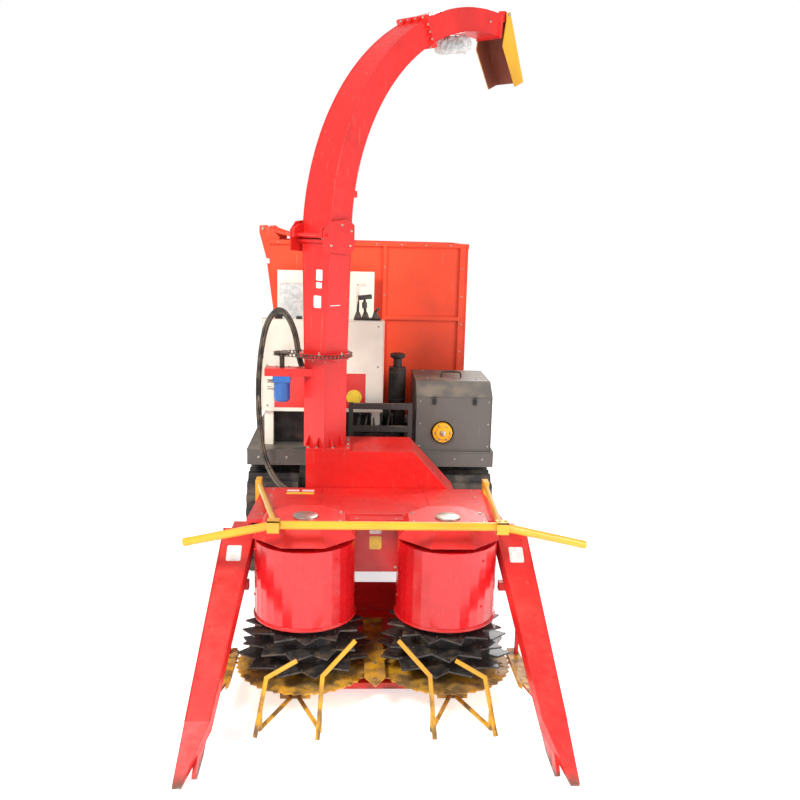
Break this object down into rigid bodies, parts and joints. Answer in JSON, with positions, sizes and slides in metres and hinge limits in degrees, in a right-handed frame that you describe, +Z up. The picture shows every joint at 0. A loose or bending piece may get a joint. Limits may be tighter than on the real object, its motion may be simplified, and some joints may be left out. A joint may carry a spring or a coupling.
{
  "type": "forage harvester",
  "caption": "Rubber-track forage harvester with a two-rotor header, slewing gooseneck spout, open operator seat and a side-tipping forage bin.",
  "frame": {"origin": "on the ground, under the middle of the overall length and width", "axes": "+Z up, the header points to -Y, +X is the left side of the machine"},
  "size_m": [2.3398, 4.798, 4.5201],
  "materials": {
    "red_paint": "gloss enamel, scuffed at the edges",
    "orange_paint": "satin enamel",
    "yellow_paint": "gloss enamel",
    "chassis_grey": "satin enamel",
    "cream_panel": "satin enamel",
    "blue_paint": "gloss enamel",
    "dark_steel": "oily dark steel",
    "chrome_rod": "ground and polished",
    "track_rubber": "moulded",
    "hose_rubber": "smooth hose cover",
    "seat_vinyl": "grained vinyl"
  },
  "bodies": {
    "chassis": {"main_frame": "chassis_grey", "deck": "chassis_grey", "guard_frame": "chassis_grey", "engine_cover": "chassis_grey", "track_left": "track_rubber", "track_right": "track_rubber", "roller_frame_left": "dark_steel", "roller_frame_right": "dark_steel", "drive_sprocket_left": "dark_steel", "drive_sprocket_right": "dark_steel", "console_tank": "cream_panel", "seat_shield": "cream_panel", "footwell": "dark_steel", "seat_base": "dark_steel", "seat_cushion": "seat_vinyl", "seat_backrest": "seat_vinyl", "control_levers": "dark_steel", "engine_block": "dark_steel", "valve_block": "dark_steel", "air_cleaner": "dark_steel", "bin_stand": "dark_steel"},
    "header": {"header_frame": "red_paint", "header_hood": "red_paint", "centre_guide": "yellow_paint", "push_bar": "yellow_paint", "blower_housing": "red_paint", "divider_left": "red_paint", "divider_right": "red_paint", "crop_guides_left": "yellow_paint", "crop_guides_right": "yellow_paint", "spout_column": "red_paint", "slew_motor": "blue_paint", "hose_bundle": "hose_rubber"},
    "drum_left": {"drum_left": "red_paint"},
    "drum_right": {"drum_right": "red_paint"},
    "disc_left": {"cutter_disc_left": "yellow_paint"},
    "disc_right": {"cutter_disc_right": "yellow_paint"},
    "pto": {"pto_coupling": "yellow_paint"},
    "spout": {"spout_base": "red_paint"},
    "slew_pinion": {"slew_pinion": "dark_steel"},
    "spout_arc": {"spout_arc_lower": "red_paint", "spout_arc_upper": "red_paint"},
    "flap": {"spout_flap": "yellow_paint"},
    "tilt_barrel": {"tilt_cylinder_barrel": "yellow_paint"},
    "tilt_rod": {"tilt_cylinder_rod": "chrome_rod"},
    "lift_barrel": {"lift_cylinder_barrel": "dark_steel"},
    "lift_rod": {"lift_cylinder_rod": "chrome_rod"},
    "bin": {"bin_tub": "orange_paint"},
    "bin_flap": {"bin_flap": "orange_paint"},
    "bin_cyl_barrel": {"bin_cylinder_barrel": "dark_steel"},
    "bin_cyl_rod": {"bin_cylinder_rod": "chrome_rod"}
  },
  "joints": [
    {"name": "header_lift", "type": "hinge", "parent": "chassis", "child": "header", "pos_m": [-0.0053, 0.353, 0.78], "axis": [-1, 0, 0], "range_deg": [0, 8]},
    {"name": "drum_left_spin", "type": "hinge", "parent": "header", "child": "drum_left", "pos_m": [0.3697, -1.299, 0], "axis": [0, 0, 1], "continuous": true},
    {"name": "drum_right_spin", "type": "hinge", "parent": "header", "child": "drum_right", "pos_m": [-0.4803, -1.299, 0], "axis": [0, 0, 1], "continuous": true},
    {"name": "disc_left_spin", "type": "hinge", "parent": "header", "child": "disc_left", "pos_m": [0.3697, -1.299, 0], "axis": [0, 0, 1], "continuous": true},
    {"name": "disc_right_spin", "type": "hinge", "parent": "header", "child": "disc_right", "pos_m": [-0.4803, -1.299, 0], "axis": [0, 0, 1], "continuous": true},
    {"name": "pto_spin", "type": "hinge", "parent": "chassis", "child": "pto", "pos_m": [0.5047, 0.471, 1.215], "axis": [0, 1, 0], "continuous": true},
    {"name": "spout_slew", "type": "hinge", "parent": "header", "child": "spout", "pos_m": [-0.4053, -0.049, 1.88], "axis": [0, 0, 1], "range_deg": [-45, 135]},
    {"name": "slew_pinion_turn", "type": "hinge", "parent": "header", "child": "slew_pinion", "pos_m": [-0.7153, -0.049, 1.89], "axis": [0, 0, 1], "range_deg": [-130, 388]},
    {"name": "spout_tilt", "type": "hinge", "parent": "spout", "child": "spout_arc", "pos_m": [-0.51667, -0.16037, 2.73], "axis": [0.7071, -0.7071, 0], "range_deg": [0, 20]},
    {"name": "tilt_barrel_swing", "type": "hinge", "parent": "spout", "child": "tilt_barrel", "pos_m": [-0.33282, 0.10833, 2.33], "axis": [0.7071, -0.7071, 0], "range_deg": [-1, 11.26]},
    {"name": "tilt_rod_slide", "type": "slide", "parent": "tilt_barrel", "child": "tilt_rod", "axis": [0.1212, 0.1212, 0.9852], "range_m": [-0.01, 0.13266]},
    {"name": "flap_aim", "type": "hinge", "parent": "spout_arc", "child": "flap", "pos_m": [0.90186, 1.25816, 4.49095], "axis": [0.7071, -0.7071, 0], "range_deg": [-10, 50]},
    {"name": "lift_barrel_swing", "type": "hinge", "parent": "chassis", "child": "lift_barrel", "pos_m": [-0.0053, 1.021, 0.56], "axis": [-1, 0, 0], "range_deg": [-1, 2.4]},
    {"name": "lift_rod_slide", "type": "slide", "parent": "lift_barrel", "child": "lift_rod", "axis": [0, -0.9742, -0.2259], "range_m": [-0.01, 0.06001]},
    {"name": "bin_tip", "type": "hinge", "parent": "chassis", "child": "bin", "pos_m": [-0.8453, 1.841, 1.13], "axis": [0, -1, 0], "range_deg": [0, 45]},
    {"name": "bin_flap_swing", "type": "hinge", "parent": "bin", "child": "bin_flap", "pos_m": [-0.9853, 1.841, 2.76], "axis": [0, -1, 0], "range_deg": [0, 100]},
    {"name": "bin_barrel_swing", "type": "hinge", "parent": "chassis", "child": "bin_cyl_barrel", "pos_m": [0.0247, 2.365, 1.19], "axis": [0, -1, 0], "range_deg": [-1, 52.62]},
    {"name": "bin_rod_slide", "type": "slide", "parent": "bin_cyl_barrel", "child": "bin_cyl_rod", "axis": [0.5599, 0, 0.8286], "range_m": [-0.01, 0.66351]}
  ],
  "couplings": [
    {"joint": "drum_right_spin", "follows": "drum_left_spin", "ratio": -1},
    {"joint": "disc_left_spin", "follows": "drum_left_spin", "ratio": 10},
    {"joint": "disc_right_spin", "follows": "drum_left_spin", "ratio": -10},
    {"joint": "slew_pinion_turn", "follows": "spout_slew", "ratio": 2.8571},
    {"joint": "tilt_barrel_swing", "follows": "spout_tilt", "ratio": 0.5132},
    {"joint": "tilt_rod_slide", "follows": "spout_tilt", "m_per_rad": 0.3514},
    {"joint": "lift_barrel_swing", "follows": "header_lift", "ratio": 0.17458},
    {"joint": "lift_rod_slide", "follows": "header_lift", "m_per_rad": 0.35816},
    {"joint": "bin_barrel_swing", "follows": "bin_tip", "ratio": 1.1471},
    {"joint": "bin_rod_slide", "follows": "bin_tip", "m_per_rad": 0.83208}
  ]
}
